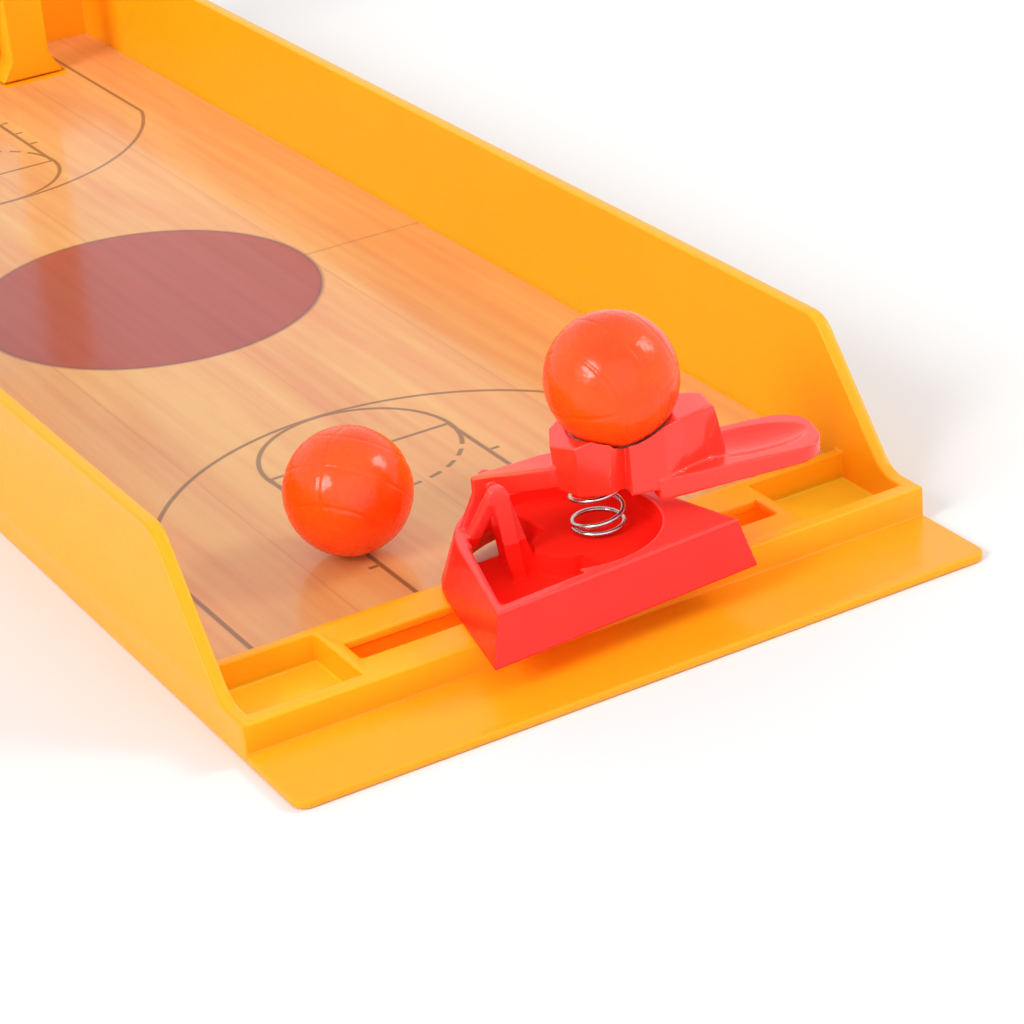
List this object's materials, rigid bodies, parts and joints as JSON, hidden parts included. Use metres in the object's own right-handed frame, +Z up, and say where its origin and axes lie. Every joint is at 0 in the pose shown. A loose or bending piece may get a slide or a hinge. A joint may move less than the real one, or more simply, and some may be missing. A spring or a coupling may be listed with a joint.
{
  "type": "tabletop basketball game",
  "caption": "Tabletop basketball game: a shallow walled tray with a printed court, a hoop and backboard on a stand, and a sprung catapult that slides and swivels in a slotted rail.",
  "frame": {"origin": "middle of the tray's footprint, at the flat underside that rests on the table", "axes": "+X to the player's right across the tray, +Y away from the player towards the hoop, +Z up"},
  "size_m": [0.1266, 0.368, 0.156],
  "materials": {
    "tray_plastic": "glossy yellow-orange moulded plastic",
    "launcher_plastic": "glossy, slightly translucent red moulded plastic",
    "ball_plastic": "glossy orange moulded plastic",
    "court_paper": "printed sheet with wood planks and court lines",
    "board_plastic": "plain off-white sheet",
    "board_paper": "printed sheet with a plain border and a target rectangle",
    "hoop_plastic": "glossy red moulded plastic",
    "screw_steel": "plain zinc-plated steel",
    "spring_steel": "bright drawn spring wire"
  },
  "bodies": {
    "frame": {"tray": "tray_plastic", "court_print": "court_paper", "backboard_stand": "tray_plastic", "backboard_panel": "board_plastic", "backboard_print": "board_paper", "hoop_ring": "hoop_plastic", "hoop_screw_left": "screw_steel", "hoop_screw_right": "screw_steel", "stand_screw_left": "screw_steel", "stand_screw_right": "screw_steel"},
    "slider": {"slide_bush": "launcher_plastic", "retainer_washer": "screw_steel"},
    "launcher": {"launcher_base": "launcher_plastic", "pivot_screw": "screw_steel", "spring": "spring_steel"},
    "lever": {"lever": "launcher_plastic"},
    "loaded_ball": {"ball_cup": "ball_plastic"},
    "spare_ball": {"ball_court": "ball_plastic"}
  },
  "joints": [
    {"name": "launcher_slide", "type": "slide", "parent": "frame", "child": "slider", "axis": [1, 0, 0], "range_m": [-0.0362, 0.035]},
    {"name": "launcher_swivel", "type": "hinge", "parent": "slider", "child": "launcher", "pos_m": [0.0006, -0.156, 0.007], "axis": [0, 0, 1], "range_deg": [-80, 5]},
    {"name": "lever_press", "type": "hinge", "parent": "launcher", "child": "lever", "pos_m": [-0.00947, -0.15131, 0.0238], "axis": [0.2504, 0.9681, 0], "range_deg": [0, 5], "stiffness_Nm_per_rad": 0.3, "springref_deg": -5.73, "deforming": ["spring"]},
    {"name": "loaded_ball_lift", "type": "slide", "parent": "lever", "child": "loaded_ball", "axis": [0, 0, 1], "range_m": [0, 0.08]},
    {"name": "spare_ball_lift", "type": "slide", "parent": "frame", "child": "spare_ball", "axis": [0, 0, 1], "range_m": [0, 0.08]}
  ]
}
